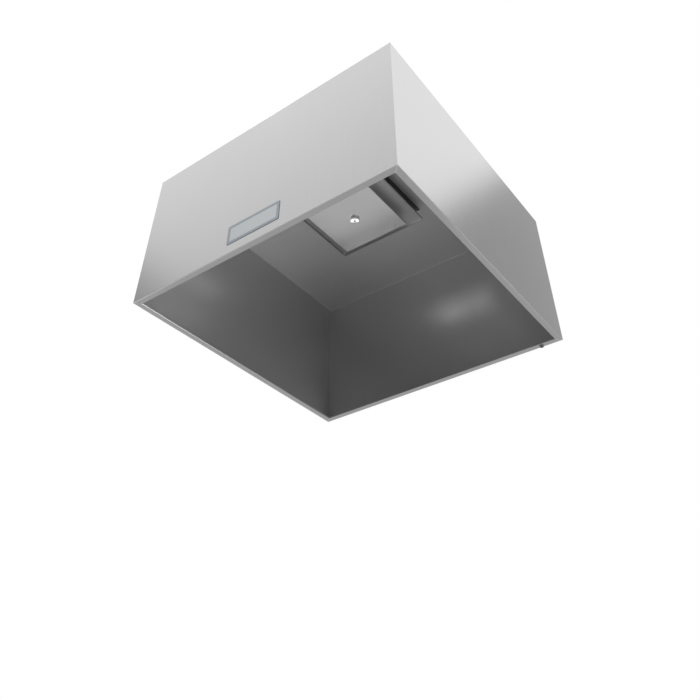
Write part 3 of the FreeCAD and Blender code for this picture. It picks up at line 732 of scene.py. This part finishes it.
class HOOD_OT_stage(bpy.types.Operator):
    """Set up the floor, the light and the camera"""

    bl_idname = "hood.stage"
    bl_label = "Studio"

    # The camera that was fitted to the hood's corners in the photograph
    camera_place = (1.4062, -1.9236, -2.3304)
    camera_direction = (-0.44558, 0.60205, 0.66257)
    camera_lens = 37.11
    sensor_width = 36
    camera_shift = (-0.0023, -0.1689)
    # Middle of the white overhead light, cosine of the angle to its edge, and that edge's softness
    overhead = (0.2313, -0.2827, 0.931)
    overhead_edge = 0.523
    overhead_softness = 0.02
    # The overhead light is dimmer on the far side of a plane with this normal, with a soft edge
    dim_normal = (0.0, 0.819, 0.573)
    dim_edge = (-0.12, 0.16)
    dim_level = 0.68
    # The white backdrop lies this way from the hood, behind it as the camera sees it, with a soft edge
    backdrop = (-0.588, 0.809, 0.0)
    backdrop_edge = (0.6, 0.76)
    wall_grey = 0.34
    floor_radius = 40.0
    floor_segments = 96
    mottles_a_metre = 1.5
    # Front left corner of the black card in the collar's right part, its depth under the flange,
    # its black, which paints the shade of the slot beside the baffle, and its faint painted glow
    card_corner = (0.085, -0.2)
    card_depth = 4 * MM
    card_black = "#0c0c0c"
    card_glow = "#1c1c1c"
    # Soft lamps: name, place, side length and power in watts; each one faces the hood
    lamps = (
        ("front_left_over", (-0.25, -0.46, 0.45), 0.45, 1.2),
        ("right_back_over", (0.36, 0.46, 0.5), 0.5, 0.7),
        ("low_right", (2.6, -0.5, -1.7), 2.0, 10.5),
        ("low_left", (-1.92, -0.96, -1.84), 1.6, 6.5),
        ("low_right_back", (1.76, 1.68, -1.92), 1.3, 4.3),
    )
    # Lamps for one piece alone: its object, then the lamp as above. The knob's face mirrors its lamp,
    # the second one lights the part of the upper baffle that shows beside the lower one, and the
    # third one sets the left wall off from the rear wall.
    piece_lamps = (
        ("adjuster_knob_turned", "knob_lamp", (-1.4, 1.92, -2.6), 0.9, 4.2),
        ("upper_baffle", "baffle_lamp", (0.5, -0.45, -0.6), 0.4, 18.0),
        ("left_panel", "left_wall_lamp", (2.6, 0.7, -1.7), 1.6, 68.0),
    )

    def execute(self, context):
        scene = context.scene
        scene.view_settings.view_transform = "Standard"
        self.add_camera(scene)
        self.add_world(scene)
        self.add_floor(scene)
        self.add_card(scene)
        for lamp in self.lamps:
            self.add_lamp(scene, *lamp)
        for piece, name, place, side, power in self.piece_lamps:
            lit_piece = bpy.data.collections.new(name + "_receiver")
            lit_piece.objects.link(bpy.data.objects[piece])
            self.add_lamp(scene, name, place, side, power).light_linking.receiver_collection = lit_piece
        return {"FINISHED"}

    def add_camera(self, scene):
        """A camera at the photograph's viewing angle."""
        camera = bpy.data.cameras.new("camera")
        camera.sensor_width = self.sensor_width
        camera.lens = self.camera_lens
        camera.shift_x, camera.shift_y = self.camera_shift
        eye = bpy.data.objects.new("camera", camera)
        eye.location = self.camera_place
        eye.rotation_euler = Vector(self.camera_direction).to_track_quat("-Z", "Y").to_euler()
        scene.collection.objects.link(eye)
        scene.camera = eye

    def add_world(self, scene):
        """Plain studio light: a white light overhead, a white backdrop and grey walls."""
        world = bpy.data.worlds.new("studio")
        world.use_nodes = True
        scene.world = world
        tree = world.node_tree
        direction = add_node(tree, "ShaderNodeTexCoord").outputs["Generated"]
        up = add_node(tree, "ShaderNodeVectorMath", {
            0: direction, 1: self.overhead}, operation="DOT_PRODUCT")
        lit = add_node(tree, "ShaderNodeMapRange", {
            "Value": up.outputs["Value"], "From Min": self.overhead_edge - self.overhead_softness,
            "From Max": self.overhead_edge + self.overhead_softness}, interpolation_type="SMOOTHSTEP")
        level_part = add_node(tree, "ShaderNodeVectorMath", {
            0: direction, 1: (1.0, 1.0, 0.0)}, operation="MULTIPLY")
        heading = add_node(tree, "ShaderNodeVectorMath", {
            0: level_part.outputs["Vector"]}, operation="NORMALIZE")
        away = add_node(tree, "ShaderNodeVectorMath", {
            0: heading.outputs["Vector"], 1: self.backdrop}, operation="DOT_PRODUCT")
        wall = add_node(tree, "ShaderNodeMapRange", {
            "Value": away.outputs["Value"], "From Min": self.backdrop_edge[0],
            "From Max": self.backdrop_edge[1], "To Min": self.wall_grey,
            "To Max": 1.0}, interpolation_type="SMOOTHSTEP")
        front = add_node(tree, "ShaderNodeVectorMath", {
            0: direction, 1: self.dim_normal}, operation="DOT_PRODUCT")
        dimmed = add_node(tree, "ShaderNodeMapRange", {
            "Value": front.outputs["Value"], "From Min": self.dim_edge[0],
            "From Max": self.dim_edge[1], "To Min": self.dim_level,
            "To Max": 1.0}, interpolation_type="SMOOTHSTEP")
        level = add_node(tree, "ShaderNodeMix", {
            0: lit.outputs["Result"], 2: wall.outputs["Result"], 3: dimmed.outputs["Result"]})
        tree.links.new(level.outputs[0], tree.nodes["Background"].inputs["Color"])

    def add_lamp(self, scene, name, place, side, power):
        """A soft square lamp that faces the hood's middle."""
        lamp = bpy.data.lights.new(name, "AREA")
        lamp.size = side
        lamp.energy = power
        holder = bpy.data.objects.new(name, lamp)
        holder.location = place
        aim = Vector((0, 0, (RIM + HOOD_TOP) / 2)) - Vector(place)
        holder.rotation_euler = aim.to_track_quat("-Z", "Y").to_euler()
        holder.visible_camera = False
        scene.collection.objects.link(holder)
        return holder

    def add_floor(self, scene):
        """A plain round floor far below the hood."""
        material, tree, shader, place = start_material("painted_floor", metallic=0.0, roughness=0.7)
        mottle = add_node(tree, "ShaderNodeTexNoise", {
            "Vector": place, "Scale": self.mottles_a_metre}).outputs["Fac"]
        vary_colour(tree, shader, scene.hood_colours.floor, mottle, low=0.98, high=1.02)
        form = bmesh.new()
        level = RIM - scene.hood_sizes.floor_drop
        bmesh.ops.create_circle(form, cap_ends=True, segments=self.floor_segments, radius=self.floor_radius,
                                matrix=Matrix.Translation((0, 0, level)))
        self.add_stage_piece(scene, "floor", form, material)

    def add_card(self, scene):
        """A strip of black card in the collar's mouth: from below it paints shade and a faint painted glow
        on the slot beside the baffle.

        From above it is clear, so that the strap and the inside of the collar show.
        """
        material, tree, shader, _ = start_material("painted_shade_card", metallic=0.0, roughness=0.95)
        # Painted shade: the black stands in for the shade of the duct above the slot
        shader.inputs["Base Color"].default_value = (*linear(self.card_black), 1.0)
        shader.inputs["Specular IOR Level"].default_value = 0.0
        # Painted light: a faint glow, so that the slot reads dim grey rather than black
        shader.inputs["Emission Color"].default_value = (*linear(self.card_glow), 1.0)
        shader.inputs["Emission Strength"].default_value = 1.0
        above = add_node(tree, "ShaderNodeNewGeometry").outputs["Backfacing"]
        clear = add_node(tree, "ShaderNodeBsdfTransparent")
        sides = add_node(tree, "ShaderNodeMixShader", {
            0: above, 1: shader.outputs["BSDF"], 2: clear.outputs["BSDF"]})
        tree.links.new(sides.outputs["Shader"], tree.nodes["Material Output"].inputs["Surface"])
        left, front = self.card_corner
        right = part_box("collar_right")[0].x
        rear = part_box("collar_rear")[0].y
        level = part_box("collar_right")[1].z - self.card_depth
        form = bmesh.new()
        size = Matrix.Diagonal(((right - left) / 2, (rear - front) / 2, 1, 1))
        middle = Matrix.Translation(((left + right) / 2, (front + rear) / 2, level))
        bmesh.ops.create_grid(form, x_segments=1, y_segments=1, size=1, matrix=middle @ size)
        bmesh.ops.reverse_faces(form, faces=form.faces[:])
        self.add_stage_piece(scene, "card", form, material)

    def add_stage_piece(self, scene, name, form, material):
        """Make a stage object of a finished bmesh."""
        mesh = bpy.data.meshes.new(name)
        form.to_mesh(mesh)
        form.free()
        mesh.materials.append(material)
        piece = bpy.data.objects.new(name, mesh)
        scene.collection.objects.link(piece)


OPERATORS = (HOOD_OT_shell, HOOD_OT_welds, HOOD_OT_hangers, HOOD_OT_collar, HOOD_OT_studs,
             HOOD_OT_baffles, HOOD_OT_adjuster, HOOD_OT_plate, HOOD_OT_drain, HOOD_OT_stage)


class HOOD_PT_sidebar(bpy.types.Panel):
    """Sizes, colours and steps of the hood"""

    bl_idname = "HOOD_PT_sidebar"
    bl_label = "Condensate hood"
    bl_space_type = "VIEW_3D"
    bl_region_type = "UI"
    bl_category = "Hood"

    def draw(self, context):
        for group in (context.scene.hood_colours, context.scene.hood_sizes):
            column = self.layout.column()
            for name in group.__annotations__:
                column.prop(group, name)
        for operator in OPERATORS:
            self.layout.operator(operator.bl_idname)


CLASSES = (HoodColours, HoodSizes, *OPERATORS, HOOD_PT_sidebar)


def register():
    for each in CLASSES:
        bpy.utils.register_class(each)
    bpy.types.Scene.hood_colours = bpy.props.PointerProperty(type=HoodColours)
    bpy.types.Scene.hood_sizes = bpy.props.PointerProperty(type=HoodSizes)


def unregister():
    del bpy.types.Scene.hood_sizes
    del bpy.types.Scene.hood_colours
    for each in reversed(CLASSES):
        bpy.utils.unregister_class(each)


def main():
    register()
    bpy.ops.hood.shell()
    bpy.ops.hood.welds()
    bpy.ops.hood.hangers()
    bpy.ops.hood.collar()
    bpy.ops.hood.studs()
    bpy.ops.hood.baffles()
    bpy.ops.hood.adjuster()
    bpy.ops.hood.plate()
    bpy.ops.hood.drain()
    bpy.ops.hood.stage()


if __name__ == "__main__":
    main()
